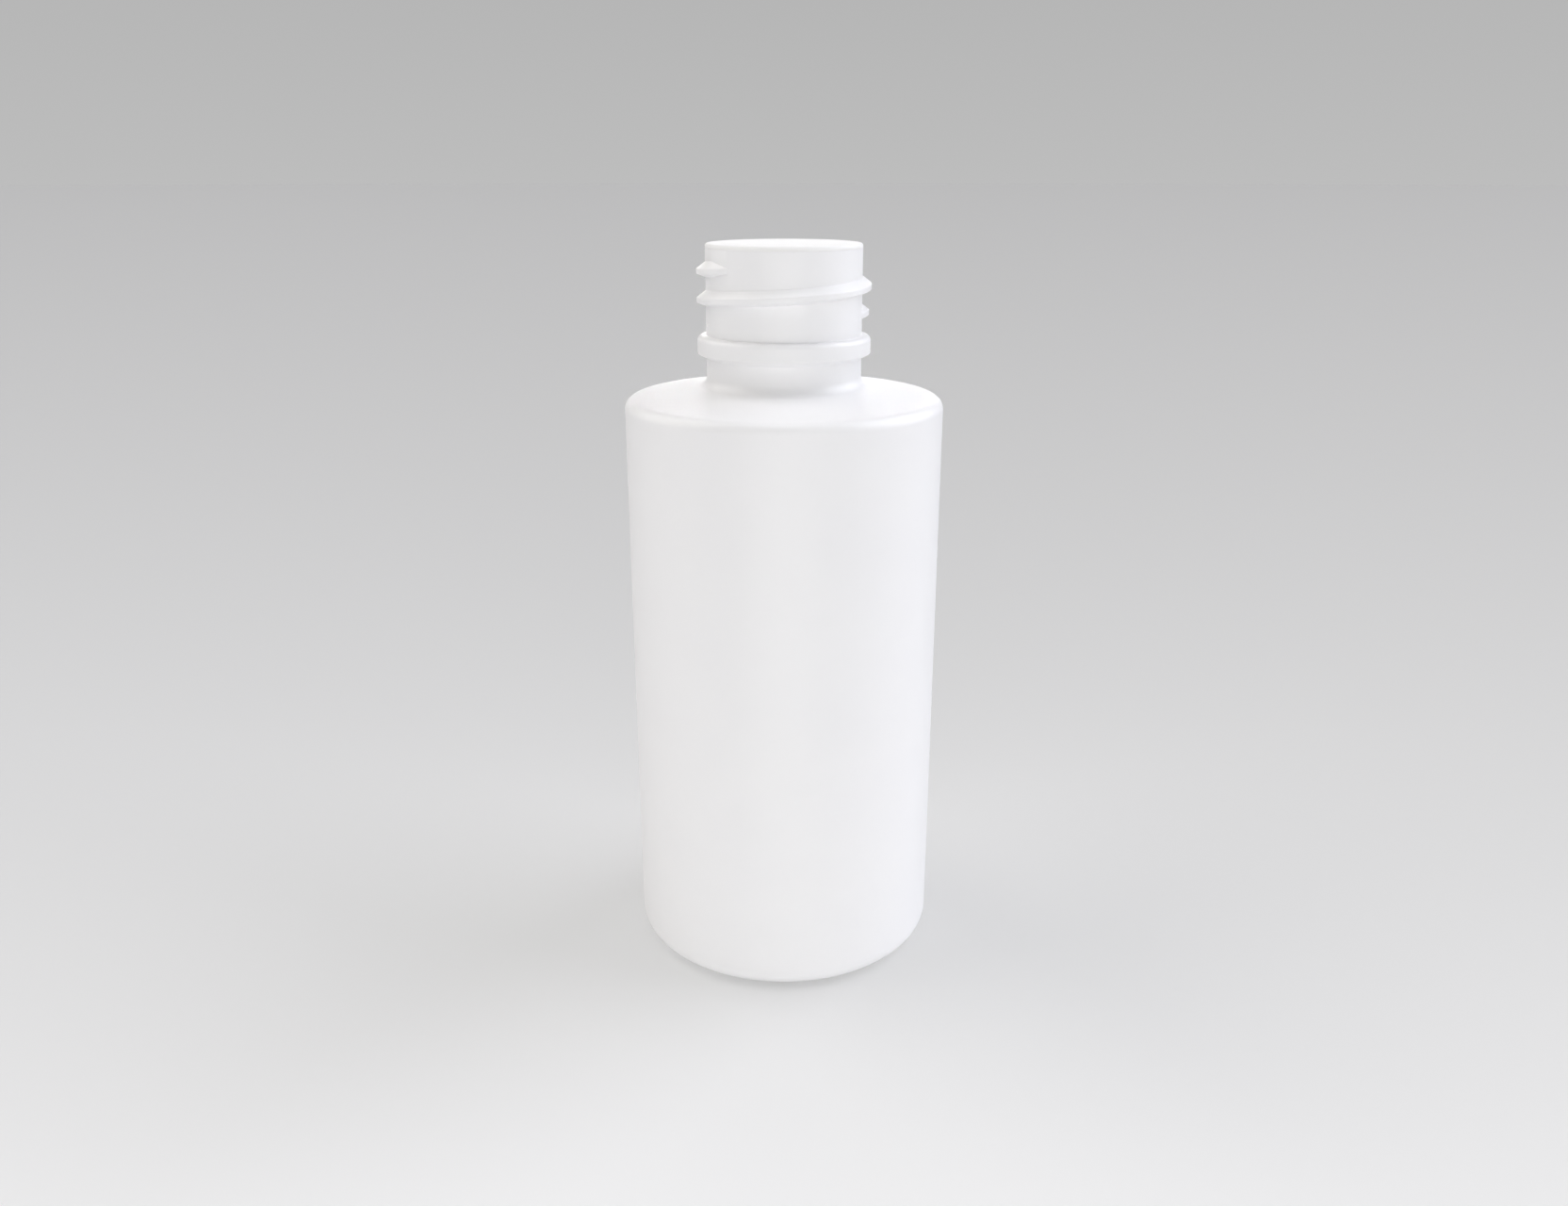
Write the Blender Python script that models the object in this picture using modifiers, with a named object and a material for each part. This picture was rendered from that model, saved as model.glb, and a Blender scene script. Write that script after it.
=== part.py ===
"""White plastic cosmetic bottle of 60 ml: the blown bottle with its screw neck, and the seal on its mouth.

Metres, +Z up. The bottle stands on z = 0 with its axis on the Z axis, and its front looks along -Y.
Its heights are a stack, from the floor up: body, shoulder, collar, bead, thread, lip, seal.
"""

import math

import bmesh
import bpy
from mathutils import Matrix, Vector

# Body and base
BODY_DIAMETER = 0.0369
BODY_HEIGHT = 0.0681
BODY_WALL = 0.0010
BASE_ROUND = 0.0024
STANDING_RING_WIDTH = 0.0024
BASE_RECESS_DEPTH = 0.0009
BASE_RECESS_SLOPE_WIDTH = 0.0022
BASE_RECESS_ROUND = 0.0008

# Shoulder, a shallow cone between the body and the neck
SHOULDER_RISE = 0.00155
SHOULDER_ROUND = 0.0013
NECK_ROOT_ROUND = 0.0012
BORE_ROOT_ROUND = 0.0015

# Neck, from its root up
NECK_DIAMETER = 0.0178
NECK_WALL = 0.0017
LIP_INNER_ROUND = 0.0003
COLLAR_HEIGHT = 0.0031
BEAD_HEIGHT = 0.00253
BEAD_DEPTH = 0.00103
BEAD_TOP_ROUND = 0.0006
BEAD_UNDERSIDE_RISE = 0.0005

# Thread, one right-hand start; its angles run from the front towards +X
THREAD_ABOVE_BEAD = 0.00223
THREAD_PITCH = 0.003175
THREAD_START = math.radians(-280)
THREAD_SWEEP = math.radians(593)
THREAD_RUN_OUT = math.radians(20)
THREAD_DEPTH = 0.00103
THREAD_CREST_WIDTH = 0.0006
THREAD_UPPER_FLANK = math.radians(37)
THREAD_LOWER_FLANK = math.radians(19)
THREAD_ROOT_IN_WALL = 0.0006
THREAD_BELOW_LIP = 0.0019

# Seal, a foam disc of the lip's diameter
SEAL_CLEARANCE = 0.0003
SEAL_THICKNESS = 0.0005
SEAL_EDGE_ROUND = 0.0003

# How finely round shapes are faceted
TURN_STEPS = 60
ARC_STEP = math.radians(24)
AXIS_MERGE = 0.00001
SHARP_EDGE = math.radians(32)

PLASTIC_WHITE = (0.86, 0.86, 0.87)
PLASTIC_ROUGHNESS = 0.38
SEAL_WHITE = (0.90, 0.90, 0.90)
SEAL_ROUGHNESS = 0.55

# Heights of the stack, and the radii that several pieces share
BODY_RADIUS = BODY_DIAMETER / 2
NECK_RADIUS = NECK_DIAMETER / 2
BORE_RADIUS = NECK_RADIUS - NECK_WALL
NECK_ROOT_Z = BODY_HEIGHT + SHOULDER_RISE
BEAD_BOTTOM_Z = NECK_ROOT_Z + COLLAR_HEIGHT
BEAD_TOP_Z = BEAD_BOTTOM_Z + BEAD_HEIGHT
THREAD_START_Z = BEAD_TOP_Z + THREAD_ABOVE_BEAD
LIP_Z = THREAD_START_Z + THREAD_PITCH * THREAD_SWEEP / math.tau + THREAD_BELOW_LIP
SEAL_Z = LIP_Z + SEAL_CLEARANCE
SHOULDER_SLOPE = math.atan2(SHOULDER_RISE, BODY_RADIUS - NECK_RADIUS)


def clear_scene():
    """Remove every object, so that the script starts from an empty scene."""
    for obj in list(bpy.data.objects):
        bpy.data.objects.remove(obj, do_unlink=True)


def new_collection(name):
    """Make a collection under the scene's own."""
    collection = bpy.data.collections.new(name)
    bpy.context.scene.collection.children.link(collection)
    return collection


def plastic(name, colour, roughness):
    """Make a Principled material of one opaque, non-metallic plastic."""
    material = bpy.data.materials.new(name)
    material.use_nodes = True
    shader = material.node_tree.nodes["Principled BSDF"]
    shader.inputs["Base Color"].default_value = (*colour, 1.0)
    shader.inputs["Roughness"].default_value = roughness
    shader.inputs["Metallic"].default_value = 0.0
    material.diffuse_color = (*colour, 1.0)
    return material


def rounded(corners):
    """Give the points of a profile through (radius, height, rounding) corners, with an arc at each round one."""
    points = []
    for index, (radius, height, rounding) in enumerate(corners):
        corner = Vector((radius, height))
        if not rounding:
            points.append(corner)
            continue
        back = (Vector(corners[index - 1][:2]) - corner).normalized()
        onward = (Vector(corners[index + 1][:2]) - corner).normalized()
        half = math.acos(max(-1.0, min(1.0, back.dot(onward)))) / 2
        centre = corner + (back + onward).normalized() * rounding / math.sin(half)
        spoke = corner + back * rounding / math.tan(half) - centre
        sweep = math.copysign(math.pi - 2 * half, back.cross(onward))
        steps = max(2, math.ceil(abs(sweep) / ARC_STEP))
        for step in range(steps + 1):
            points.append(centre + Matrix.Rotation(-sweep * step / steps, 2) @ spoke)
    return points


def turned(name, points, collection):
    """Turn a profile about the Z axis. It starts and ends on the axis and runs down its outer side."""
    mesh = bpy.data.meshes.new(name)
    edges = [(index, index + 1) for index in range(len(points) - 1)]
    mesh.from_pydata([(point.x, 0.0, point.y) for point in points], edges, [])
    obj = bpy.data.objects.new(name, mesh)
    collection.objects.link(obj)
    screw = obj.modifiers.new("Turn", "SCREW")
    screw.axis = "Z"
    screw.angle = math.tau
    screw.steps = TURN_STEPS
    screw.render_steps = TURN_STEPS
    screw.use_merge_vertices = True
    screw.merge_threshold = AXIS_MERGE
    return obj


def freeze(obj):
    """Replace an object's mesh by its evaluated one, shaded smooth with its hard edges kept sharp."""
    evaluated = obj.evaluated_get(bpy.context.evaluated_depsgraph_get())
    mesh = bpy.data.meshes.new_from_object(evaluated)
    obj.modifiers.clear()
    obj.data = mesh
    mesh.name = obj.name
    mesh.shade_smooth()
    mesh.set_sharp_from_angle(angle=SHARP_EDGE)


def inner_corners():
    """Corners of the hollow, from the middle of its floor out and up to the lip."""
    wall_radius = BODY_RADIUS - BODY_WALL
    recess_radius = BODY_RADIUS - BASE_ROUND - STANDING_RING_WIDTH
    roof_drop = BODY_WALL / math.cos(SHOULDER_SLOPE)
    roof_edge_z = BODY_HEIGHT + BODY_WALL * math.tan(SHOULDER_SLOPE) - roof_drop
    bore_root_z = roof_edge_z + (wall_radius - BORE_RADIUS) * math.tan(SHOULDER_SLOPE)
    return [
        (0.0, BASE_RECESS_DEPTH + BODY_WALL, 0.0),
        (recess_radius - BASE_RECESS_SLOPE_WIDTH, BASE_RECESS_DEPTH + BODY_WALL, BASE_RECESS_ROUND),
        (recess_radius, BODY_WALL, BASE_RECESS_ROUND),
        (wall_radius, BODY_WALL, BASE_ROUND - BODY_WALL),
        (wall_radius, roof_edge_z, SHOULDER_ROUND - BODY_WALL),
        (BORE_RADIUS, bore_root_z, BORE_ROOT_ROUND),
        (BORE_RADIUS, LIP_Z, LIP_INNER_ROUND),
    ]


def outer_corners():
    """Corners of the outside without its thread, from the lip down and in to the middle of the base."""
    bead_radius = NECK_RADIUS + BEAD_DEPTH
    recess_radius = BODY_RADIUS - BASE_ROUND - STANDING_RING_WIDTH
    return [
        (NECK_RADIUS, LIP_Z, 0.0),
        (NECK_RADIUS, BEAD_TOP_Z, 0.0),
        (bead_radius, BEAD_TOP_Z, BEAD_TOP_ROUND),
        (bead_radius, BEAD_BOTTOM_Z + BEAD_UNDERSIDE_RISE, 0.0),
        (NECK_RADIUS, BEAD_BOTTOM_Z, 0.0),
        (NECK_RADIUS, NECK_ROOT_Z, NECK_ROOT_ROUND),
        (BODY_RADIUS, BODY_HEIGHT, SHOULDER_ROUND),
        (BODY_RADIUS, 0.0, BASE_ROUND),
        (recess_radius, 0.0, BASE_RECESS_ROUND),
        (recess_radius - BASE_RECESS_SLOPE_WIDTH, BASE_RECESS_DEPTH, BASE_RECESS_ROUND),
        (0.0, BASE_RECESS_DEPTH, 0.0),
    ]


def thread_section(angle):
    """Give the four points of the thread's section at an angle from its lower end, where it starts to rise."""
    to_nearer_end = min(angle, THREAD_SWEEP - angle)
    depth = THREAD_DEPTH * min(1.0, to_nearer_end / THREAD_RUN_OUT)
    crest_radius = NECK_RADIUS + depth
    root_radius = NECK_RADIUS - THREAD_ROOT_IN_WALL
    reach = crest_radius - root_radius
    middle = THREAD_START_Z + THREAD_PITCH * angle / math.tau
    crest_top = middle + THREAD_CREST_WIDTH / 2
    crest_bottom = middle - THREAD_CREST_WIDTH / 2
    turn = Matrix.Rotation(THREAD_START + angle - math.pi / 2, 3, "Z")
    section = [
        (root_radius, crest_top + reach * math.tan(THREAD_UPPER_FLANK)),
        (crest_radius, crest_top),
        (crest_radius, crest_bottom),
        (root_radius, crest_bottom - reach * math.tan(THREAD_LOWER_FLANK)),
    ]
    return [turn @ Vector((radius, 0.0, height)) for radius, height in section]


def thread(collection):
    """Loft the thread along its helix. Its root lies inside the neck's wall and both ends run out into it."""
    step = math.tau / TURN_STEPS
    # Sections stand halfway between the neck's facet edges, and one past each end dips under the surface
    first = math.ceil(THREAD_START / step - 0.5) * step + step / 2 - THREAD_START - step
    count = math.ceil((THREAD_SWEEP - first) / step) + 1
    form = bmesh.new()
    rings = []
    for index in range(count):
        rings.append([form.verts.new(point) for point in thread_section(first + index * step)])
    form.faces.new(rings[0])
    form.faces.new(reversed(rings[-1]))
    for ring, following in zip(rings, rings[1:]):
        for corner in range(len(ring)):
            after = (corner + 1) % len(ring)
            form.faces.new((ring[after], ring[corner], following[corner], following[after]))
    bmesh.ops.recalc_face_normals(form, faces=form.faces)
    mesh = bpy.data.meshes.new("neck_thread")
    form.to_mesh(mesh)
    form.free()
    obj = bpy.data.objects.new("neck_thread", mesh)
    obj.display_type = "WIRE"
    obj.hide_render = True
    collection.objects.link(obj)
    return obj


def bottle(parts, helpers):
    """Make the bottle: one turned shell, with the thread joined to its neck."""
    obj = turned("bottle", rounded(inner_corners() + outer_corners()), parts)
    join = obj.modifiers.new("Thread", "BOOLEAN")
    join.operation = "UNION"
    join.solver = "EXACT"
    join.object = thread(helpers)
    freeze(obj)
    obj.data.materials.append(plastic("white_plastic", PLASTIC_WHITE, PLASTIC_ROUGHNESS))
    return obj


def mouth_seal(parts):
    """Make the seal: a disc whose edge the cap has pressed round. Its origin is on the axis it lifts along."""
    corners = [
        (0.0, SEAL_THICKNESS, 0.0),
        (NECK_RADIUS, SEAL_THICKNESS, SEAL_EDGE_ROUND),
        (NECK_RADIUS, 0.0, 0.0),
        (0.0, 0.0, 0.0),
    ]
    obj = turned("mouth_seal", rounded(corners), parts)
    freeze(obj)
    obj.location.z = SEAL_Z
    obj.data.materials.append(plastic("white_foam", SEAL_WHITE, SEAL_ROUGHNESS))
    return obj


def main():
    """Build the bottle and its seal under one empty."""
    clear_scene()
    parts = new_collection("cosmetic_bottle")
    helpers = new_collection("thread_helper")
    root = bpy.data.objects.new("cosmetic_bottle_origin", None)
    root.empty_display_size = BODY_RADIUS
    parts.objects.link(root)
    for piece in (bottle(parts, helpers), mouth_seal(parts)):
        piece.parent = root


main()
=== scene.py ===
"""Scene of a white plastic bottle: the blown shell with its screw neck, and the seal on its mouth.

Metres, +Z up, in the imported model's frame. The bottle's axis is the Z axis, and -Y is its front.
"""

import logging
import math
from contextlib import contextmanager
from dataclasses import dataclass
from enum import Enum
from typing import Callable, Iterator, Sequence

import bmesh
import bpy
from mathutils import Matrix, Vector


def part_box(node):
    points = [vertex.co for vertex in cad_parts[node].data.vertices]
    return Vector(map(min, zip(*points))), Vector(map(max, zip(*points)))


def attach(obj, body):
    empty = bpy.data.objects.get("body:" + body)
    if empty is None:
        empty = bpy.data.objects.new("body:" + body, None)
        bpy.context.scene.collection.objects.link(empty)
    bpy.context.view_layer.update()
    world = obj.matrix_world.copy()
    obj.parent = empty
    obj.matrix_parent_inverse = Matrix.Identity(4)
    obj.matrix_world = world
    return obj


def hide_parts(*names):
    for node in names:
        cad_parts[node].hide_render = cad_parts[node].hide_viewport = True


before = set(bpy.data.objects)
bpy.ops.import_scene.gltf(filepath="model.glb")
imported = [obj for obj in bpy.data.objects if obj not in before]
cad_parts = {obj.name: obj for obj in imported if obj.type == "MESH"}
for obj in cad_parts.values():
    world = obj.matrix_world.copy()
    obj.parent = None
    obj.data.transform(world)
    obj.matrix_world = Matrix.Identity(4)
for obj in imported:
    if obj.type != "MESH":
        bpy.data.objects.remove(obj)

log = logging.getLogger("bottle")

Test = Callable[[bmesh.types.BMVert], bool]
Socket = bpy.types.NodeSocket
Colour = tuple[float, float, float]
Span = tuple[float, float]

MM = 0.001
# How many facets a full turn has, and the turn below which an edge is shaded smooth
TURN_FACETS = 240
SMOOTH_BELOW = math.radians(30)
# How near its expected place a point has to lie to be found by it
NEAR = 0.01 * MM
# The hairline that stays open between the lip and the seal
SEAL_LINE = 0.01 * MM
# The middle of a pattern's range, where most of its values lie
PATTERN_RANGE: Span = (0.3, 0.7)


class Pick(Enum):
    """What a selection is made of."""

    POINTS = "VERT"
    EDGES = "EDGE"
    FACES = "FACE"


class Hand(Enum):
    """Which way a thread climbs, as the sign of its turn seen from above."""

    RIGHT = 1
    LEFT = -1


class Axis(Enum):
    """An axis of the frame that a shade runs along."""

    Y = "Y"
    Z = "Z"


class Maths(Enum):
    """What one step of arithmetic among nodes does with its two values."""

    ADD = "ADD"
    MULTIPLY = "MULTIPLY"
    DIVIDE = "DIVIDE"
    RAISE = "POWER"
    TAKE_LARGER = "MAXIMUM"


@contextmanager
def editing(piece: bpy.types.Object) -> Iterator[None]:
    """Open one piece in edit mode with nothing selected, and close it again.

    Args:
        piece: The mesh object to edit.
    """
    bpy.ops.object.select_all(action="DESELECT")
    bpy.context.view_layer.objects.active = piece
    piece.select_set(True)
    bpy.ops.object.mode_set(mode="EDIT")
    bpy.ops.mesh.select_all(action="DESELECT")
    yield
    bpy.ops.object.mode_set(mode="OBJECT")


def pick(piece: bpy.types.Object, kind: Pick, test: Test) -> None:
    """Select the points, edges or faces of an open piece whose every point passes a test.

    Args:
        piece: The object in edit mode.
        kind: What to select.
        test: Tells whether a point, by its place or normal, belongs to the selection.
    """
    bpy.ops.mesh.select_mode(type=kind.value)
    bpy.ops.mesh.select_all(action="DESELECT")
    form = bmesh.from_edit_mesh(piece.data)
    elements = {Pick.POINTS: form.verts, Pick.EDGES: form.edges, Pick.FACES: form.faces}[kind]
    for element in elements:
        corners = [element] if kind is Pick.POINTS else element.verts
        if all(test(corner) for corner in corners):
            element.select_set(True)
    form.select_flush_mode()
    bmesh.update_edit_mesh(piece.data)


def on_ring(radius: float, height: float) -> Test:
    """Give a test for the points of one horizontal ring about the axis.

    Args:
        radius: The ring's radius.
        height: The ring's height.

    Returns:
        The test.
    """
    return lambda point: (
        abs(point.co.z - height) < NEAR and abs(point.co.xy.length - radius) < NEAR
    )


def start_primitive(name: str) -> bpy.types.Object:
    """Name the primitive that was just added and put its place into its mesh.

    Args:
        name: The new piece's name.

    Returns:
        The piece, with its object at the origin.
    """
    piece = bpy.context.object
    piece.name = name
    piece.data.name = name
    bpy.ops.object.select_all(action="DESELECT")
    piece.select_set(True)
    bpy.ops.object.transform_apply(location=True, rotation=True, scale=True)
    return piece


def apply_modifier(piece: bpy.types.Object, modifier: bpy.types.Modifier) -> None:
    """Apply one modifier of a piece to its mesh."""
    with bpy.context.temp_override(object=piece, active_object=piece):
        bpy.ops.object.modifier_apply(modifier=modifier.name)


def join_skins(piece: bpy.types.Object, other: bpy.types.Object) -> None:
    """Join another closed piece to one, as one skin.

    Args:
        piece: The piece that stays.
        other: The piece that becomes part of it.
    """
    join = piece.modifiers.new("Join", "BOOLEAN")
    join.operation = "UNION"
    join.solver = "EXACT"
    join.object = other
    apply_modifier(piece, join)
    bpy.data.objects.remove(other, do_unlink=True)


def smooth_surface(piece: bpy.types.Object) -> None:
    """Shade a piece smooth where its edges turn little, and keep flat stretches flat.

    Args:
        piece: The finished mesh object.
    """
    bpy.ops.object.select_all(action="DESELECT")
    bpy.context.view_layer.objects.active = piece
    piece.select_set(True)
    bpy.ops.object.shade_smooth_by_angle(angle=SMOOTH_BELOW)
    weighted = piece.modifiers.new("Flat next to round", "WEIGHTED_NORMAL")
    weighted.keep_sharp = True
    apply_modifier(piece, weighted)


@dataclass(frozen=True)
class Corner:
    """A corner of a turned wall, as a ring about the axis, and the round that takes its edge off.

    Attributes:
        radius: The ring's radius.
        height: The ring's height.
        rounding: The radius of the round, or 0 where the corner stays sharp.
        steps: How many facets the round has.
    """

    radius: float
    height: float
    rounding: float = 0.0
    steps: int = 8


def grow_wall(name: str, corners: Sequence[Corner]) -> bpy.types.Object:
    """Grow a closed turned wall ring by ring, cap both ends and round its corners.

    Args:
        name: The piece's name.
        corners: The rings, from the first cap to the last, going up the outside.

    Returns:
        The closed piece, faces outwards.
    """
    first = corners[0]
    bpy.ops.mesh.primitive_circle_add(
        vertices=TURN_FACETS,
        radius=first.radius,
        fill_type="NOTHING",
        location=(0.0, 0.0, first.height),
    )
    piece = start_primitive(name)
    with editing(piece):
        bpy.ops.mesh.select_all(action="SELECT")
        for here, there in zip(corners, corners[1:]):
            rise = (0.0, 0.0, there.height - here.height)
            growth = there.radius / here.radius
            bpy.ops.mesh.extrude_edges_move(TRANSFORM_OT_translate={"value": rise})
            bpy.ops.transform.resize(
                value=(growth, growth, 1.0), center_override=(0.0, 0.0, 0.0)
            )
        bpy.ops.mesh.edge_face_add()
        pick(piece, Pick.EDGES, on_ring(first.radius, first.height))
        bpy.ops.mesh.edge_face_add()
        for before, corner, after in zip(corners, corners[1:], corners[2:]):
            if corner.rounding:
                round_corner(piece, before, corner, after)
        bpy.ops.mesh.select_all(action="SELECT")
        bpy.ops.mesh.normals_make_consistent(inside=False)
    return piece


def round_corner(
    piece: bpy.types.Object, before: Corner, corner: Corner, after: Corner
) -> None:
    """Bevel one ring of an open piece to its round.

    Args:
        piece: The object in edit mode.
        before: The ring before it on the profile.
        corner: The ring to round.
        after: The ring after it.
    """
    here = Vector((corner.radius, corner.height))
    back = Vector((before.radius, before.height)) - here
    onward = Vector((after.radius, after.height)) - here
    tangent = corner.rounding / math.tan(back.angle(onward) / 2)
    pick(piece, Pick.EDGES, on_ring(corner.radius, corner.height))
    bpy.ops.mesh.bevel(
        offset_type="OFFSET", offset=tangent, segments=corner.steps, profile=0.5
    )


@dataclass(frozen=True)
class Relief:
    """A fine pattern on a surface, and the bump that it makes.

    Attributes:
        size: The size of its waves or cells in metres.
        strength: How much of the bump shows, from 0 to 1.
        depth: The bump's depth in metres.
        detail: How many finer octaves the pattern has.
    """

    size: float
    strength: float
    depth: float
    detail: float = 0.0


class NodeSheet:
    """The node tree of a material or a world, and short calls that add nodes to it."""

    def __init__(self, tree: bpy.types.NodeTree) -> None:
        """Take the node tree to work on."""
        self.tree = tree

    def add(self, kind: str) -> bpy.types.Node:
        """Add a node of one kind."""
        return self.tree.nodes.new(kind)

    def feed(self, target: Socket, value: Socket | float) -> None:
        """Give an input its value.

        Args:
            target: The input.
            value: The output that it follows, or a fixed number.
        """
        if isinstance(value, Socket):
            self.tree.links.new(value, target)
        else:
            target.default_value = value

    def part(self, vector: Socket, axis: Axis) -> Socket:
        """Take a vector apart.

        Args:
            vector: The vector.
            axis: The axis to look along.

        Returns:
            Its part along that axis.
        """
        node = self.add("ShaderNodeSeparateXYZ")
        self.feed(node.inputs["Vector"], vector)
        return node.outputs[axis.value]

    def length(self, vector: Socket) -> Socket:
        """Measure a vector.

        Args:
            vector: The vector.

        Returns:
            Its length.
        """
        node = self.add("ShaderNodeVectorMath")
        node.operation = "LENGTH"
        self.feed(node.inputs[0], vector)
        return node.outputs["Value"]

    def noise(self, place: Socket, size: float, detail: float) -> Socket:
        """Add a noise.

        Args:
            place: The coordinates that it reads.
            size: The size of its waves in metres.
            detail: How many finer octaves it has.

        Returns:
            Its factor.
        """
        node = self.add("ShaderNodeTexNoise")
        self.feed(node.inputs["Scale"], 1 / size)
        self.feed(node.inputs["Detail"], detail)
        self.feed(node.inputs["Vector"], place)
        return node.outputs["Fac"]

    def reckon(self, value: Socket, maths: Maths, other: Socket | float) -> Socket:
        """Do one step of arithmetic.

        Args:
            value: The first value.
            maths: What is done.
            other: The second value.

        Returns:
            The result.
        """
        node = self.add("ShaderNodeMath")
        node.operation = maths.value
        self.feed(node.inputs[0], value)
        self.feed(node.inputs[1], other)
        return node.outputs["Value"]

    def remap(self, value: Socket, source: Span, target: Span) -> Socket:
        """Carry a value from one span over to another, and stop it at the ends.

        Args:
            value: The value.
            source: The span that it comes from.
            target: The span that it goes to, which may run downwards.

        Returns:
            The new value.
        """
        node = self.add("ShaderNodeMapRange")
        names = ("From Min", "From Max", "To Min", "To Max")
        for name, number in zip(names, (*source, *target)):
            self.feed(node.inputs[name], number)
        self.feed(node.inputs["Value"], value)
        return node.outputs["Result"]

    def blend_colours(self, pattern: Socket, low: Colour, high: Colour) -> Socket:
        """Blend two colours.

        Args:
            pattern: The pattern that chooses between them.
            low: The colour where it is low.
            high: The colour where it is high.

        Returns:
            The blended colour.
        """
        node = self.add("ShaderNodeMix")
        node.data_type = "RGBA"
        inputs = {socket.identifier: socket for socket in node.inputs}
        outputs = {socket.identifier: socket for socket in node.outputs}
        inputs["A_Color"].default_value = (*low, 1.0)
        inputs["B_Color"].default_value = (*high, 1.0)
        self.feed(inputs["Factor_Float"], self.remap(pattern, PATTERN_RANGE, (0.0, 1.0)))
        return outputs["Result_Color"]

    def bump(self, height: Socket, relief: Relief, under: Socket | None = None) -> Socket:
        """Add a bump on top of another.

        Args:
            height: The pattern's height.
            relief: The relief that it belongs to.
            under: The normal that it is laid on, or None for the surface's own.

        Returns:
            The bumped normal.
        """
        node = self.add("ShaderNodeBump")
        self.feed(node.inputs["Strength"], relief.strength)
        self.feed(node.inputs["Distance"], relief.depth)
        self.feed(node.inputs["Height"], height)
        if under is not None:
            self.feed(node.inputs["Normal"], under)
        return node.outputs["Normal"]

    def blend_shaders(self, factor: Socket, low: Socket, high: Socket) -> Socket:
        """Blend two shaders.

        Args:
            factor: How much of the second one shows, from 0 to 1.
            low: The first shader.
            high: The second shader.

        Returns:
            The blended shader.
        """
        node = self.add("ShaderNodeMixShader")
        for socket, value in zip(node.inputs, (factor, low, high)):
            self.feed(socket, value)
        return node.outputs["Shader"]

    def seen_rays(self) -> Socket:
        """Tell the rays that show the background from those that only light a surface.

        Returns:
            1 for camera, glossy and transmission rays, and 0 for the rest.
        """
        path = self.add("ShaderNodeLightPath")
        seen = path.outputs["Is Camera Ray"]
        for kind in ("Is Glossy Ray", "Is Transmission Ray"):
            seen = self.reckon(seen, Maths.TAKE_LARGER, path.outputs[kind])
        return seen


class MaterialSheet(NodeSheet):
    """The node tree of a new material, with its one Principled shader."""

    def __init__(self, name: str) -> None:
        """Start a material.

        Args:
            name: The material's name.
        """
        self.material = bpy.data.materials.new(name)
        self.material.use_nodes = True
        super().__init__(self.material.node_tree)
        self.shader = self.tree.nodes["Principled BSDF"]

    def place(self) -> Socket:
        """Give the place on the object that is being shaded."""
        return self.add("ShaderNodeTexCoord").outputs["Object"]

    def dress(self, values: dict[str, Socket | float]) -> None:
        """Give inputs of the shader their outputs or numbers, by the inputs' names."""
        for name, value in values.items():
            self.feed(self.shader.inputs[name], value)


@dataclass(frozen=True)
class MouldedPlastic:
    """White polyethylene with a soft gloss, the slight waviness of a blown wall and die lines."""

    colour: Colour = (0.86, 0.86, 0.865)
    shade: Colour = (0.85, 0.85, 0.857)
    roughness: Span = (0.30, 0.38)
    refraction: float = 1.51
    ripple: Relief = Relief(size=7 * MM, strength=0.05, depth=0.2 * MM, detail=2.0)
    die_lines: Relief = Relief(size=0.5 * MM, strength=0.06, depth=0.01 * MM, detail=1.0)
    die_line_squeeze: float = 0.012
    grain: Relief = Relief(size=0.35 * MM, strength=0.10, depth=0.006 * MM, detail=3.0)

    def material(self) -> bpy.types.Material:
        """Build the plastic's material.

        Returns:
            The material.
        """
        nodes = MaterialSheet("white_plastic")
        place = nodes.place()
        drawn = nodes.add("ShaderNodeMapping")
        drawn.inputs["Scale"].default_value = (1.0, 1.0, self.die_line_squeeze)
        nodes.feed(drawn.inputs["Vector"], place)
        along = drawn.outputs["Vector"]
        ripple = nodes.noise(place, self.ripple.size, self.ripple.detail)
        lines = nodes.noise(along, self.die_lines.size, self.die_lines.detail)
        grain = nodes.noise(place, self.grain.size, self.grain.detail)
        normal = nodes.bump(ripple, self.ripple)
        normal = nodes.bump(lines, self.die_lines, normal)
        normal = nodes.bump(grain, self.grain, normal)
        nodes.dress(
            {
                "Base Color": nodes.blend_colours(ripple, self.shade, self.colour),
                "Roughness": nodes.remap(ripple, PATTERN_RANGE, self.roughness),
                "IOR": self.refraction,
                "Normal": normal,
            }
        )
        return nodes.material


@dataclass(frozen=True)
class FoamSkin:
    """White foamed sheet with a closed satin skin and faint cells under it."""

    colour: Colour = (0.89, 0.89, 0.88)
    shade: Colour = (0.875, 0.875, 0.867)
    roughness: Span = (0.68, 0.82)
    cloud_size: float = 4 * MM
    cloud_detail: float = 2.0
    cells: Relief = Relief(size=0.22 * MM, strength=0.25, depth=0.01 * MM)

    def material(self) -> bpy.types.Material:
        """Build the foam's material.

        Returns:
            The material.
        """
        nodes = MaterialSheet("white_foam")
        place = nodes.place()
        cloud = nodes.noise(place, self.cloud_size, self.cloud_detail)
        pattern = nodes.add("ShaderNodeTexVoronoi")
        nodes.feed(pattern.inputs["Scale"], 1 / self.cells.size)
        nodes.feed(pattern.inputs["Detail"], self.cells.detail)
        nodes.feed(pattern.inputs["Vector"], place)
        cells = pattern.outputs["Distance"]
        nodes.dress(
            {
                "Base Color": nodes.blend_colours(cloud, self.shade, self.colour),
                "Roughness": nodes.remap(cells, PATTERN_RANGE, self.roughness),
                "Normal": nodes.bump(cells, self.cells),
            }
        )
        return nodes.material


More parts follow.
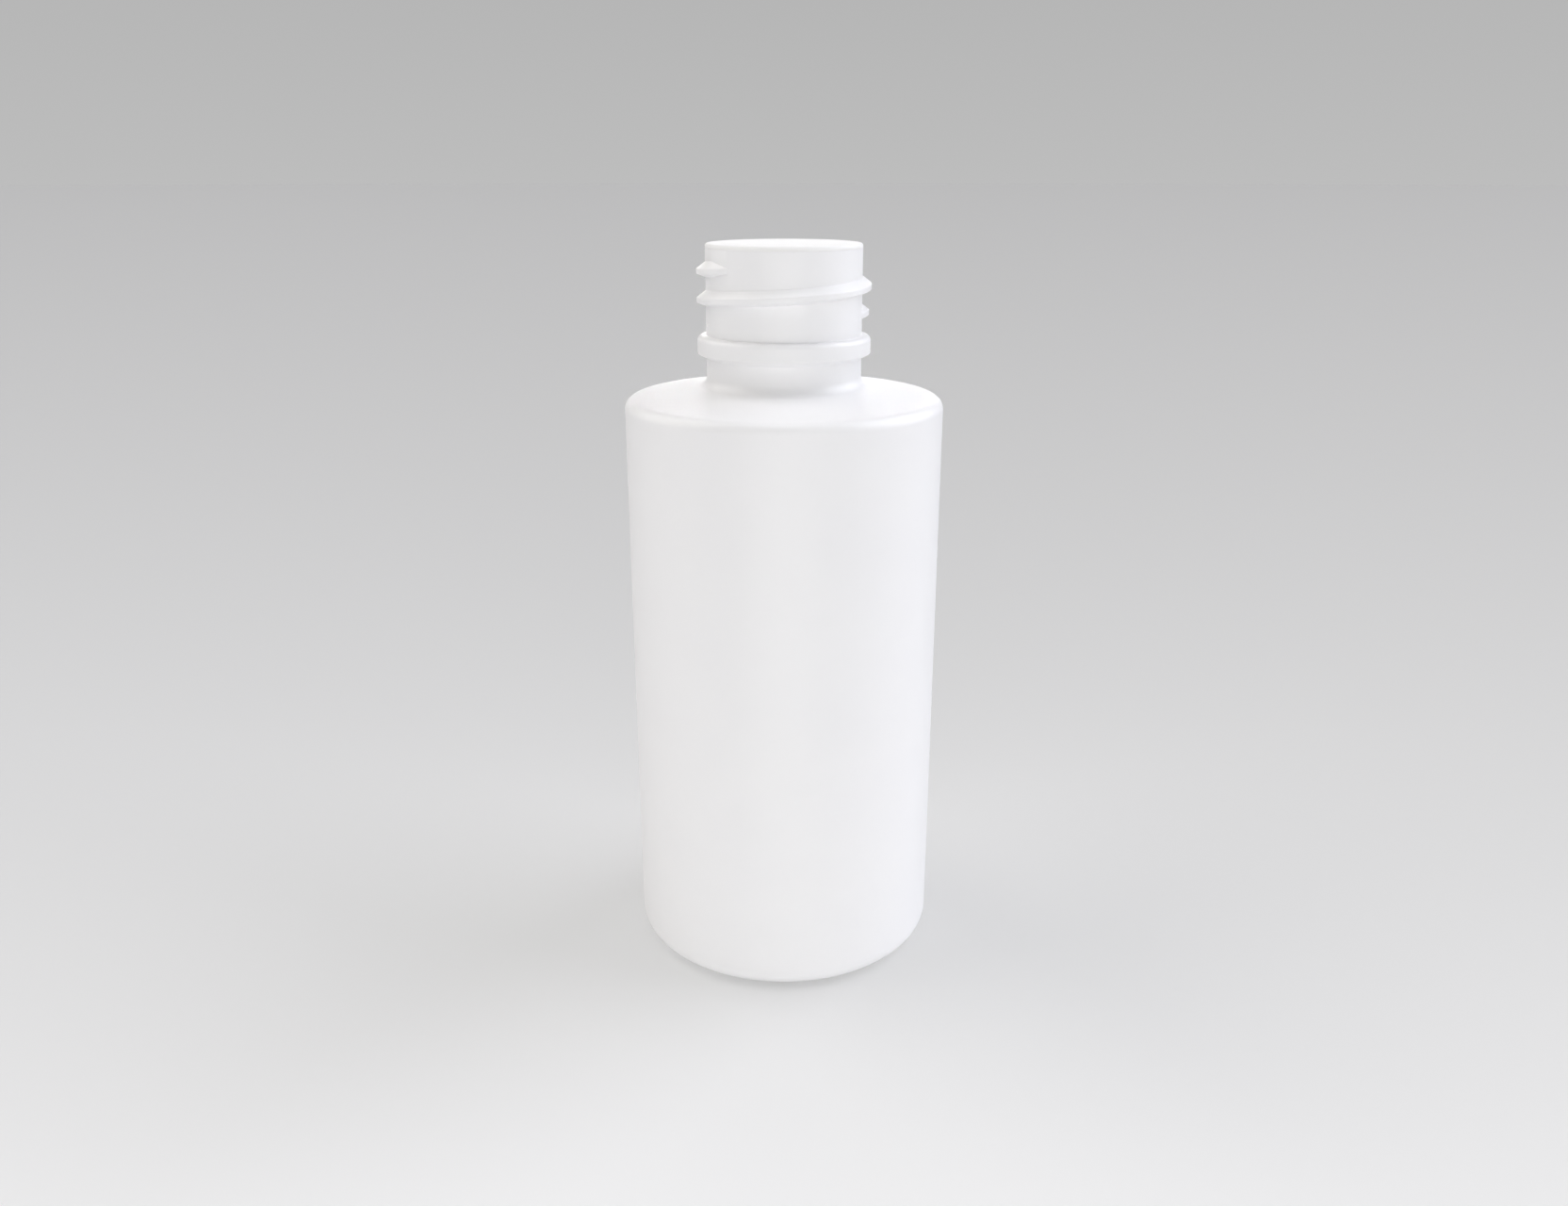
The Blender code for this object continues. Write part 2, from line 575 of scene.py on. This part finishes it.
@dataclass(frozen=True)
class ScrewThread:
    """The one-start thread of a 20 mm neck, whose root lies inside the neck's wall.

    Its angles are counted from the front, in the direction in which it climbs. The start height is
    that of its crest's middle at the lower end.
    """

    wall_radius: float
    start_height: float
    hand: Hand = Hand.RIGHT
    pitch: float = 3.175 * MM
    start: float = math.radians(-282)
    sweep: float = math.radians(598)
    run_out: float = math.radians(20)
    depth: float = 1.03 * MM
    crest_width: float = 0.6 * MM
    crest_round: float = 0.08 * MM
    crest_steps: int = 4
    upper_flank: float = math.radians(37)
    lower_flank: float = math.radians(19)
    root_in_wall: float = 0.6 * MM
    step: float = math.tau / TURN_FACETS
    spare_steps: int = 1

    def wind(self) -> bpy.types.Object:
        """Sweep the section along the helix, run its ends out into the wall and cap them.

        Returns:
            A closed thread, to be joined to the neck.
        """
        piece = self._section()
        ring_size = len(piece.data.vertices)
        steps = round(self.sweep / self.step) + 2 * self.spare_steps
        self._climb(piece, steps)
        with editing(piece):
            self._sink_ends(piece, ring_size, steps)
            for index in (0, steps):
                self._select_ring(piece, index, ring_size)
                bpy.ops.mesh.edge_face_add()
            bpy.ops.mesh.select_all(action="SELECT")
            bpy.ops.mesh.normals_make_consistent(inside=False)
        self._turn_to_start(piece)
        return piece

    def _section(self) -> bpy.types.Object:
        """Shape the thread's section at +X from a square, and open it to a loop of edges.

        Returns:
            The section.
        """
        reach = self.depth + self.root_in_wall
        centre = self.wall_radius + self.depth - self.crest_width / 2
        height = self.start_height
        bpy.ops.mesh.primitive_plane_add(
            size=self.crest_width,
            location=(centre, 0.0, height),
            rotation=(math.pi / 2, 0.0, 0.0),
        )
        piece = start_primitive("neck_thread")
        slopes = {1: math.tan(self.upper_flank), -1: -math.tan(self.lower_flank)}

        def at_root(side: int) -> Test:
            """Give a test for the root's point above the crest's middle, or below it for -1."""
            return lambda point: point.co.x < centre and (point.co.z - height) * side > 0

        with editing(piece):
            for side, slope in slopes.items():
                pick(piece, Pick.POINTS, at_root(side))
                inward = (self.crest_width - reach, 0.0, slope * reach)
                bpy.ops.transform.translate(value=inward)
            pick(piece, Pick.POINTS, lambda point: point.co.x > centre)
            bpy.ops.mesh.bevel(
                affect="VERTICES", offset=self.crest_round, segments=self.crest_steps
            )
            bpy.ops.mesh.select_all(action="SELECT")
            bpy.ops.mesh.delete(type="ONLY_FACE")
        return piece

    def _climb(self, piece: bpy.types.Object, steps: int) -> None:
        """Sweep the section up the helix.

        Args:
            piece: The section.
            steps: How many facets the helix has.
        """
        screw = piece.modifiers.new("Wind", "SCREW")
        screw.angle = steps * self.step * self.hand.value
        screw.screw_offset = steps * self.step / math.tau * self.pitch
        screw.steps = steps
        screw.render_steps = steps
        screw.use_merge_vertices = False
        apply_modifier(piece, screw)

    def _first_angle(self) -> float:
        """Give the first section's angle from the start, which is negative by the spare steps."""
        return -self.spare_steps * self.step

    def _depth_at(self, angle: float) -> float:
        """Tell how far the thread stands out at an angle from its start, or sinks past its ends."""
        return self.depth * min(1.0, min(angle, self.sweep - angle) / self.run_out)

    def _sink_ends(self, piece: bpy.types.Object, ring_size: int, steps: int) -> None:
        """Draw the sections near both ends in to the axis, as deep as the run-out needs.

        Args:
            piece: The swept thread in edit mode.
            ring_size: How many points a section has.
            steps: How many facets the helix has.
        """
        for index in range(steps + 1):
            depth = self._depth_at(self._first_angle() + index * self.step)
            if depth < self.depth:
                self._select_ring(piece, index, ring_size)
                share = (self.wall_radius + depth) / (self.wall_radius + self.depth)
                bpy.ops.transform.resize(
                    value=(share, share, 1.0), center_override=(0.0, 0.0, 0.0)
                )

    def _select_ring(self, piece: bpy.types.Object, index: int, ring_size: int) -> None:
        """Select the points of one swept section.

        Args:
            piece: The swept thread in edit mode.
            index: The section, counted from the thread's start.
            ring_size: How many points a section has.
        """
        bpy.ops.mesh.select_mode(type="VERT")
        bpy.ops.mesh.select_all(action="DESELECT")
        form = bmesh.from_edit_mesh(piece.data)
        form.verts.ensure_lookup_table()
        for vertex in form.verts[index * ring_size:(index + 1) * ring_size]:
            vertex.select_set(True)
        form.select_flush_mode()
        bmesh.update_edit_mesh(piece.data)

    def _turn_to_start(self, piece: bpy.types.Object) -> None:
        """Turn the thread to its start, its sections midway between the corners of the neck.

        Args:
            piece: The closed thread, whose first section is at +X.
        """
        first = self._first_angle()
        turn = round((self.start + first) / self.step) * self.step + self.step / 2
        piece.location.z = first / math.tau * self.pitch
        piece.rotation_euler.z = (turn - math.pi / 2) * self.hand.value
        bpy.ops.object.transform_apply(location=True, rotation=True, scale=True)


@dataclass(frozen=True)
class BlownBottle:
    """The bottle: base, straight body, shallow shoulder and screw neck, blown in one piece."""

    body_radius: float
    neck_radius: float
    lip_height: float
    body_height: float = 68.1 * MM
    shoulder_rise: float = 1.55 * MM
    wall: float = 1.0 * MM
    neck_wall: float = 1.7 * MM
    base_round: float = 2.4 * MM
    shoulder_round: float = 1.3 * MM
    neck_root_round: float = 1.2 * MM
    bore_root_round: float = 1.5 * MM
    ring_width: float = 2.4 * MM
    recess_depth: float = 0.9 * MM
    recess_slope_width: float = 2.2 * MM
    recess_round: float = 0.8 * MM
    collar_height: float = 3.1 * MM
    bead_height: float = 2.53 * MM
    bead_depth: float = 1.03 * MM
    bead_underside_rise: float = 0.5 * MM
    bead_upper_round: float = 0.6 * MM
    bead_lower_round: float = 0.15 * MM
    bead_root_round: float = 0.12 * MM
    thread_above_bead: float = 2.17 * MM
    lip_inner_round: float = 0.3 * MM
    lip_outer_round: float = 0.02 * MM
    parting_width: float = 0.22 * MM
    parting_height: float = 0.035 * MM
    pinch_length: float = 21.6 * MM
    pinch_width: float = 0.6 * MM
    pinch_height: float = 0.3 * MM
    pinch_round: float = 0.1 * MM
    pinch_taper: float = 0.4
    plastic: MouldedPlastic = MouldedPlastic()

    def build(self) -> bpy.types.Object:
        """Model the bottle, dress it and let it stand for its solid.

        Returns:
            The finished bottle.
        """
        piece = grow_wall("blown_bottle", self._outside() + self._inside())
        self._draw_parting_line(piece)
        join_skins(piece, self._thread().wind())
        join_skins(piece, self._pinch_off())
        smooth_surface(piece)
        piece.data.materials.append(self.plastic.material())
        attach(piece, "bottle")
        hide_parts("bottle")
        return piece

    def _recess_radii(self) -> tuple[float, float, float]:
        """Give the radii of the base's recess: in its flat, at its slope's top and at its edge."""
        edge = self.body_radius - self.base_round - self.ring_width
        return edge - 2 * self.recess_slope_width, edge - self.recess_slope_width, edge

    def _bead_foot(self) -> float:
        """Give the height where the bead's underside leaves the neck."""
        return self.body_height + self.shoulder_rise + self.collar_height

    def _outside(self) -> list[Corner]:
        """List the corners of the outside.

        Returns:
            The corners, from the middle of the base up to the lip.
        """
        neck_root = self.body_height + self.shoulder_rise
        bead_foot = self._bead_foot()
        bead_edge = bead_foot + self.bead_underside_rise
        bead_top = bead_foot + self.bead_height
        bead_radius = self.neck_radius + self.bead_depth
        in_flat, slope_top, recess_edge = self._recess_radii()
        return [
            Corner(in_flat, self.recess_depth),
            Corner(slope_top, self.recess_depth, self.recess_round, steps=5),
            Corner(recess_edge, 0.0, self.recess_round, steps=5),
            Corner(self.body_radius, 0.0, self.base_round, steps=12),
            Corner(self.body_radius, self.body_height, self.shoulder_round, steps=10),
            Corner(self.neck_radius, neck_root, self.neck_root_round, steps=10),
            Corner(self.neck_radius, bead_foot, self.bead_root_round, steps=3),
            Corner(bead_radius, bead_edge, self.bead_lower_round, steps=4),
            Corner(bead_radius, bead_top, self.bead_upper_round),
            Corner(self.neck_radius, bead_top, self.bead_root_round, steps=3),
            Corner(self.neck_radius, self.lip_height, self.lip_outer_round, steps=2),
        ]

    def _inside(self) -> list[Corner]:
        """List the corners of the hollow.

        Returns:
            The corners, from the lip down to the middle of the floor.
        """
        inner_radius = self.body_radius - self.wall
        bore_radius = self.neck_radius - self.neck_wall
        slope = self.shoulder_rise / (self.body_radius - self.neck_radius)
        roof_edge = self.body_height + self.wall * slope - self.wall * math.hypot(1.0, slope)
        bore_root = roof_edge + (inner_radius - bore_radius) * slope
        in_flat, slope_top, recess_edge = self._recess_radii()
        flat_floor = self.recess_depth + self.wall
        return [
            Corner(bore_radius, self.lip_height, self.lip_inner_round, steps=4),
            Corner(bore_radius, bore_root, self.bore_root_round),
            Corner(inner_radius, roof_edge, self.shoulder_round - self.wall, steps=4),
            Corner(inner_radius, self.wall, self.base_round - self.wall),
            Corner(recess_edge, self.wall, self.recess_round, steps=5),
            Corner(slope_top, flat_floor, self.recess_round, steps=5),
            Corner(in_flat, flat_floor),
        ]

    def _draw_parting_line(self, piece: bpy.types.Object) -> None:
        """Raise the fine ridge where the mould's halves met, from the shoulder down to the recess.

        It leaves out the ring that the bottle stands on.

        Args:
            piece: The turned wall.
        """
        middle = Vector((0.0, 0.0, self.body_height / 2))
        innermost = self.neck_radius + self.neck_root_round + NEAR
        # The ridge leaves out what it would push down to the floor, with half its height to spare
        lowest = 1.5 * self.parting_height

        def on_line(point: bmesh.types.BMVert) -> bool:
            """Tell whether a point lies on the outer skin where the halves met."""
            in_plane = abs(point.co.y) < NEAR and abs(point.co.x) > innermost
            return in_plane and point.co.z > lowest and point.normal.dot(point.co - middle) > 0

        with editing(piece):
            bpy.ops.mesh.select_all(action="SELECT")
            bpy.ops.mesh.normals_make_consistent(inside=False)
            pick(piece, Pick.EDGES, on_line)
            bpy.ops.mesh.bevel(
                offset_type="OFFSET", offset=self.parting_width / 2, segments=2, profile=0.5
            )
            pick(piece, Pick.POINTS, on_line)
            bpy.ops.transform.shrink_fatten(value=self.parting_height)

    def _thread(self) -> ScrewThread:
        """Give the thread that stands on this neck."""
        bead_top = self._bead_foot() + self.bead_height
        return ScrewThread(self.neck_radius, bead_top + self.thread_above_bead)

    def _pinch_off(self) -> bpy.types.Object:
        """Shape the low ridge under the base where the mould pinched the parison shut.

        Returns:
            The closed ridge, to be joined to the bottle. It reaches halfway into the wall.
        """
        rooted = self.wall / 2
        bpy.ops.mesh.primitive_cube_add(
            size=1.0,
            location=(0.0, 0.0, self.recess_depth + (rooted - self.pinch_height) / 2),
            scale=(self.pinch_length, self.pinch_width, rooted + self.pinch_height),
        )
        ridge = start_primitive("pinch_off")
        end = self.pinch_length / 2 - NEAR
        with editing(ridge):
            for side in (1, -1):
                pick(ridge, Pick.FACES, lambda point: point.co.x * side > end)
                bpy.ops.transform.resize(value=(1.0, self.pinch_taper, 1.0))
            pick(ridge, Pick.EDGES, lambda point: point.co.z < self.recess_depth)
            bpy.ops.mesh.bevel(
                offset_type="OFFSET", offset=self.pinch_round, segments=3, profile=0.5
            )
        return ridge


@dataclass(frozen=True)
class MouthSeal:
    """The foam disc on the lip, with a rounded upper edge and its rim pressed down on the land."""

    radius: float
    underside: float
    top: float
    land_width: float = 1.55 * MM
    press_depth: float = 0.035 * MM
    press_slope: float = 0.25 * MM
    press_round: float = 0.5 * MM
    edge_round: float = 0.29 * MM
    foot_round: float = 0.015 * MM
    foam: FoamSkin = FoamSkin()

    def build(self) -> bpy.types.Object:
        """Model the seal, dress it and let it stand for its solid.

        Returns:
            The finished seal.
        """
        piece = grow_wall("foam_seal", self._corners())
        smooth_surface(piece)
        piece.data.materials.append(self.foam.material())
        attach(piece, "seal")
        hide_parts("mouth_seal")
        return piece

    def _corners(self) -> list[Corner]:
        """List the corners of the disc.

        Returns:
            The corners, from the middle of its underside out and up to the middle of its top.
        """
        middle = self.radius / 2
        land_edge = self.radius - self.land_width
        pressed = self.top - self.press_depth
        return [
            Corner(middle, self.underside),
            Corner(self.radius, self.underside, self.foot_round, steps=2),
            Corner(self.radius, pressed, self.edge_round),
            Corner(land_edge, pressed, self.press_round, steps=3),
            Corner(land_edge - self.press_slope, self.top, self.press_round, steps=3),
            Corner(middle, self.top),
        ]


@dataclass(frozen=True)
class Lamp:
    """A far soft lamp.

    Attributes:
        name: The lamp's name.
        azimuth: Where it stands round the bottle in degrees, from 0 at the front to 90 at +X.
        elevation: How high it stands in degrees above the floor.
        strength: How much light it gives.
        breadth: How wide it looks from the bottle, in degrees.
        colour: The colour of its light.
    """

    name: str
    azimuth: float
    elevation: float
    strength: float
    breadth: float
    colour: Colour = (1.0, 1.0, 1.0)

    def hang(self) -> None:
        """Add the lamp to the scene."""
        data = bpy.data.lights.new(self.name, "SUN")
        data.energy = self.strength
        data.angle = math.radians(self.breadth)
        data.color = self.colour
        # A ray that met the lamp by chance would be stopped by the floor, unlike a shadow ray
        data.cycles.use_multiple_importance_sampling = False
        lamp = bpy.data.objects.new(self.name, data)
        bpy.context.scene.collection.objects.link(lamp)
        around = math.radians(self.azimuth)
        up = math.radians(self.elevation)
        level = math.cos(up)
        towards = Vector((math.sin(around) * level, -math.cos(around) * level, math.sin(up)))
        lamp.location = towards
        lamp.rotation_euler = towards.to_track_quat("Z", "Y").to_euler()


@dataclass(frozen=True)
class StudioFloor:
    """A wide pale disc whose grey deepens to the back, and far off on all sides.

    The greys are as they are seen, and they depend only on the place on the floor.

    Attributes:
        radius: The disc's radius.
        facets: How many sides it has.
        near_grey: The grey at the front and around the bottle.
        far_grey: The grey that it deepens to.
        fall: How fast it deepens, as the power of the nearness.
        front: How far before the bottle the line lies from which the way to the back is counted.
        even_back: How far behind that line the near grey ends.
        even_round: How far from the bottle, with round_margin added, it ends on the other sides.
        round_margin: What is added to the distance from the bottle.
        lamplight: How bright the lamps make a white floor.
        glow: How much of what is seen is the grey itself and not lamplight.
        roughness: How matt the floor is.
    """

    radius: float = 10.0
    facets: int = 96
    near_grey: float = 0.85
    far_grey: float = 0.50
    fall: float = 0.85
    front: float = 150.6 * MM
    even_back: float = 98.1 * MM
    even_round: float = 120 * MM
    round_margin: float = 20 * MM
    lamplight: float = 1.08
    glow: float = 0.5
    roughness: float = 0.9

    def lay(self) -> None:
        """Lay the floor under the bottle."""
        bpy.ops.mesh.primitive_circle_add(
            vertices=self.facets, radius=self.radius, fill_type="TRIFAN"
        )
        floor = start_primitive("studio_floor")
        floor.data.materials.append(self._material())
        # The low lamps stand partly under the horizon, and their light has to pass the floor
        floor.visible_shadow = False

    def _nearness(self, nodes: MaterialSheet) -> Socket:
        """Reckon how near a place is, by how far back it lies or how far from the bottle.

        Args:
            nodes: The floor's material.

        Returns:
            1 or more where the near grey shows, and less the farther off the place lies.
        """
        place = nodes.place()
        back = nodes.reckon(nodes.part(place, Axis.Y), Maths.ADD, self.front)
        away = nodes.reckon(nodes.length(place), Maths.ADD, self.round_margin)
        away = nodes.reckon(away, Maths.MULTIPLY, self.even_back / self.even_round)
        farther = nodes.reckon(back, Maths.TAKE_LARGER, away)
        nearness = nodes.reckon(farther, Maths.RAISE, -1.0)
        return nodes.reckon(nearness, Maths.MULTIPLY, self.even_back)

    def _material(self) -> bpy.types.Material:
        """Build the floor's material, which takes shadows and partly shows its own grey.

        Returns:
            The material.
        """
        nodes = MaterialSheet("studio_floor")
        nearness = nodes.reckon(self._nearness(nodes), Maths.RAISE, self.fall)
        grey = nodes.remap(nearness, (0.0, 1.0), (self.far_grey, self.near_grey))
        nodes.dress(
            {
                "Base Color": nodes.reckon(grey, Maths.DIVIDE, self.lamplight),
                "Roughness": self.roughness,
                "Specular IOR Level": 0.0,
            }
        )
        glow = nodes.add("ShaderNodeEmission")
        nodes.feed(glow.inputs["Color"], grey)
        share = nodes.reckon(nodes.seen_rays(), Maths.MULTIPLY, self.glow)
        lit = nodes.shader.outputs["BSDF"]
        surface = nodes.blend_shaders(share, lit, glow.outputs["Emission"])
        nodes.feed(nodes.tree.nodes["Material Output"].inputs["Surface"], surface)
        return nodes.material


@dataclass(frozen=True)
class StudioAir:
    """The world around the studio: an even light, and a grey where it is seen.

    Attributes:
        ambient: The strength of the even light.
        rise: Where the grey changes, as the sine of the angle above the horizon.
        grey: The grey at both ends of that rise.
    """

    ambient: float = 0.05
    rise: Span = (-0.03, 0.25)
    grey: Span = (0.518, 0.42)

    def fill(self) -> None:
        """Give the scene its world."""
        world = bpy.data.worlds.new("studio_air")
        bpy.context.scene.world = world
        # Without this, part of each glossy ray would see the even light and not the grey
        world.cycles.sampling_method = "NONE"
        world.use_nodes = True
        nodes = NodeSheet(world.node_tree)
        light = nodes.tree.nodes["Background"]
        light.inputs["Color"].default_value = (1.0, 1.0, 1.0, 1.0)
        nodes.feed(light.inputs["Strength"], self.ambient)
        direction = nodes.add("ShaderNodeTexCoord").outputs["Generated"]
        grey = nodes.remap(nodes.part(direction, Axis.Z), self.rise, self.grey)
        shown = nodes.add("ShaderNodeBackground")
        nodes.feed(shown.inputs["Color"], grey)
        backgrounds = (light.outputs["Background"], shown.outputs["Background"])
        surface = nodes.blend_shaders(nodes.seen_rays(), *backgrounds)
        nodes.feed(nodes.tree.nodes["World Output"].inputs["Surface"], surface)


@dataclass(frozen=True)
class StudioCamera:
    """The camera in front of the bottle, which looks slightly down on it.

    Its sensor and lens are in millimetres.
    """

    distance: float = 150.6 * MM
    height: float = 93.1 * MM
    pitch: float = math.radians(18.5)
    sensor_width: float = 36.0
    lens: float = 29.69
    nearest: float = 0.01
    farthest: float = 50.0

    def place(self) -> None:
        """Place the camera and let the scene look through it."""
        data = bpy.data.cameras.new("studio_camera")
        data.sensor_fit = "HORIZONTAL"
        data.sensor_width = self.sensor_width
        data.lens = self.lens
        data.clip_start = self.nearest
        data.clip_end = self.farthest
        camera = bpy.data.objects.new("studio_camera", data)
        bpy.context.scene.collection.objects.link(camera)
        camera.location = (0.0, -self.distance, self.height)
        camera.rotation_euler = (math.pi / 2 - self.pitch, 0.0, 0.0)
        bpy.context.scene.camera = camera


@dataclass(frozen=True)
class Studio:
    """Plain pale floor and air, soft lamps and the camera."""

    floor: StudioFloor = StudioFloor()
    air: StudioAir = StudioAir()
    camera: StudioCamera = StudioCamera()
    lamps: tuple[Lamp, ...] = (
        Lamp("back_lamp", 180, 8, strength=0.7, breadth=50),
        Lamp("left_lamp", -105, 38, strength=1.6, breadth=60, colour=(1.0, 0.965, 0.935)),
        Lamp("right_lamp", 105, 32, strength=2.5, breadth=60, colour=(0.92, 0.93, 1.0)),
        Lamp("front_lamp", 0, 3, strength=1.3, breadth=60, colour=(1.0, 0.99, 0.98)),
        Lamp("low_lamp", 0, -45, strength=0.25, breadth=60),
        Lamp("top_lamp", 0, 89, strength=0.7, breadth=30),
    )

    def build(self) -> None:
        """Set up the studio."""
        self.floor.lay()
        for lamp in self.lamps:
            lamp.hang()
        self.air.fill()
        self.camera.place()


def main() -> None:
    """Build the bottle, its seal and the studio."""
    logging.basicConfig(level=logging.INFO, format="%(name)s: %(message)s")
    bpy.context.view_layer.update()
    _, bottle_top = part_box("bottle")
    seal_low, seal_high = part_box("mouth_seal")
    parts = (
        BlownBottle(bottle_top.x, seal_high.x, seal_low.z - SEAL_LINE),
        MouthSeal(seal_high.x, seal_low.z, seal_high.z),
    )
    for part in parts:
        piece = part.build()
        log.info("%s: %d faces", piece.name, len(piece.data.polygons))
    Studio().build()
    bpy.context.scene.view_settings.view_transform = "Standard"


if __name__ == "__main__":
    main()
